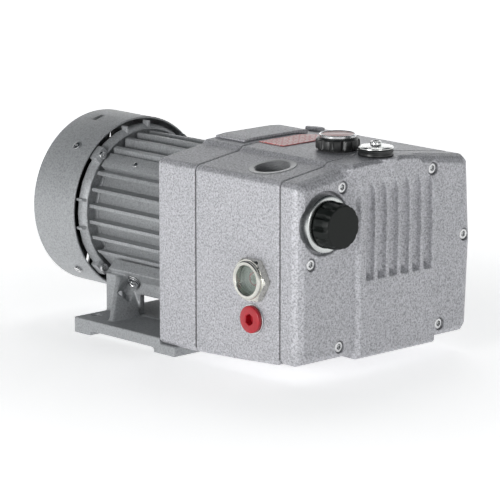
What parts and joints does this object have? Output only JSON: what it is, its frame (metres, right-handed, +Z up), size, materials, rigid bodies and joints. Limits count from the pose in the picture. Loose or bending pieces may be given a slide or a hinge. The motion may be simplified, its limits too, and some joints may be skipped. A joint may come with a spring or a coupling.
{
  "type": "rotary vane vacuum pump",
  "caption": "Direct-driven rotary vane vacuum pump: cast oil casing and ribbed front cover on a finned motor with a round fan cowl, turning knob, sight glass, filler cap and drain plug.",
  "frame": {"origin": "under the middle of the pump's box, on the floor plane", "axes": "+X along the shaft from the fan cowl to the front cover, +Z up, -Y towards the side with the sight glass"},
  "size_m": [0.401, 0.226, 0.2047],
  "materials": {
    "paint": "silver-grey hammertone paint",
    "cast_iron": "ground cast iron",
    "steel": "machined steel",
    "nickel": "nickel-plated brass",
    "black_plastic": "moulded, satin",
    "red_paint": "glossy red",
    "fibre": "oil-soaked gasket fibre",
    "rubber": "matt",
    "glass": "clear",
    "lamination": "stacked sheet, varnished windings",
    "carbon": "carbon-filled resin",
    "filter": "glass-fibre wrap",
    "label": "printed foil, no lettering"
  },
  "bodies": {
    "frame": {"fan_cowl": "paint", "motor_end_shield": "paint", "motor_housing": "paint", "stator": "lamination", "rear_bearing": "steel", "front_bearing": "steel", "shaft_seal": "rubber", "foot_bracket": "paint", "motor_flange_housing": "paint", "flange_gasket": "fibre", "oil_casing": "paint", "cover_gasket": "fibre", "front_cover": "paint", "rear_end_plate": "cast_iron", "pump_cylinder": "cast_iron", "front_end_plate": "cast_iron", "exhaust_valve_stop": "steel", "separator_cartridge": "filter", "suction_strainer": "steel", "nonreturn_spring": "steel", "sight_glass_nut": "nickel", "sight_glass_lens": "glass", "ballast_ring": "black_plastic", "ballast_plate": "steel", "knob_seat": "steel", "regulator_spring": "steel", "top_cover_plate": "paint", "label_plate": "label", "blanking_plug": "paint", "cover_screw_1": "steel", "cover_screw_2": "steel", "cover_screw_3": "steel", "cover_screw_4": "steel", "cover_screw_5": "steel", "cover_screw_6": "steel", "cowl_screw_1": "steel", "cowl_screw_2": "steel", "cowl_screw_3": "steel", "cowl_screw_4": "steel", "foot_screw_1": "steel", "foot_screw_2": "steel", "rubber_foot_1": "rubber", "rubber_foot_2": "rubber"},
    "shaft": {"drive_shaft": "steel", "motor_rotor": "lamination", "cooling_fan": "black_plastic", "pump_rotor": "cast_iron"},
    "vane_1_body": {"vane_1": "carbon"},
    "vane_2_body": {"vane_2": "carbon"},
    "vane_3_body": {"vane_3": "carbon"},
    "exhaust_valve": {"exhaust_valve_flap": "steel"},
    "nonreturn_valve": {"nonreturn_disc": "rubber"},
    "knob": {"regulator_knob": "black_plastic"},
    "plunger": {"regulator_plunger": "steel"},
    "filler_ring": {"filler_seal": "rubber"},
    "filler": {"filler_cap": "black_plastic", "filler_cap_disc": "label"},
    "drain_ring": {"drain_seal": "steel"},
    "drain": {"drain_plug": "red_paint"}
  },
  "joints": [
    {"name": "shaft_spin", "type": "hinge", "parent": "frame", "child": "shaft", "pos_m": [0, 0, 0.1035], "axis": [1, 0, 0], "continuous": true},
    {"name": "vane_1_slide", "type": "slide", "parent": "shaft", "child": "vane_1_body", "axis": [0, 0.866, 0.5], "range_m": [0, 0.0034]},
    {"name": "vane_2_slide", "type": "slide", "parent": "shaft", "child": "vane_2_body", "axis": [0, -0.866, 0.5], "range_m": [0, 0.0034]},
    {"name": "vane_3_slide", "type": "slide", "parent": "shaft", "child": "vane_3_body", "axis": [0, 0, 1], "range_m": [-0.007, 0]},
    {"name": "exhaust_valve_lift", "type": "hinge", "parent": "frame", "child": "exhaust_valve", "pos_m": [0.1035, 0.01873, 0.14374], "axis": [1, 0, 0], "range_deg": [0, 6], "stiffness_Nm_per_rad": 0.01, "springref_deg": -17.19},
    {"name": "nonreturn_lift", "type": "slide", "parent": "frame", "child": "nonreturn_valve", "axis": [0, 0.1348, -0.9909], "range_m": [0, 0.004], "stiffness_N_per_m": 200, "springref_m": -0.004, "deforming": ["nonreturn_spring"]},
    {"name": "knob_turn", "type": "hinge", "parent": "frame", "child": "knob", "pos_m": [0.18, -0.0715, 0.141], "axis": [1, 0, 0], "range_deg": [0, 270]},
    {"name": "plunger_slide", "type": "slide", "parent": "frame", "child": "plunger", "axis": [1, 0, 0], "range_m": [0, 0.00113], "deforming": ["regulator_spring"]},
    {"name": "filler_lift", "type": "slide", "parent": "frame", "child": "filler_ring", "axis": [0, 0, 1], "range_m": [0, 0.006]},
    {"name": "filler_turn", "type": "hinge", "parent": "filler_ring", "child": "filler", "pos_m": [0.1235, -0.0025, 0.195], "axis": [0, 0, 1], "range_deg": [0, 720]},
    {"name": "drain_lift", "type": "slide", "parent": "frame", "child": "drain_ring", "axis": [0, -1, 0], "range_m": [0, 0.0055]},
    {"name": "drain_turn", "type": "hinge", "parent": "drain_ring", "child": "drain", "pos_m": [0.1217, -0.103, 0.0528], "axis": [0, -1, 0], "range_deg": [0, 1080]}
  ],
  "couplings": [
    {"joint": "plunger_slide", "follows": "knob_turn", "m_per_rad": 0.00023873},
    {"joint": "filler_lift", "follows": "filler_turn", "m_per_rad": 0.00047746},
    {"joint": "drain_lift", "follows": "drain_turn", "m_per_rad": 0.00028871}
  ]
}
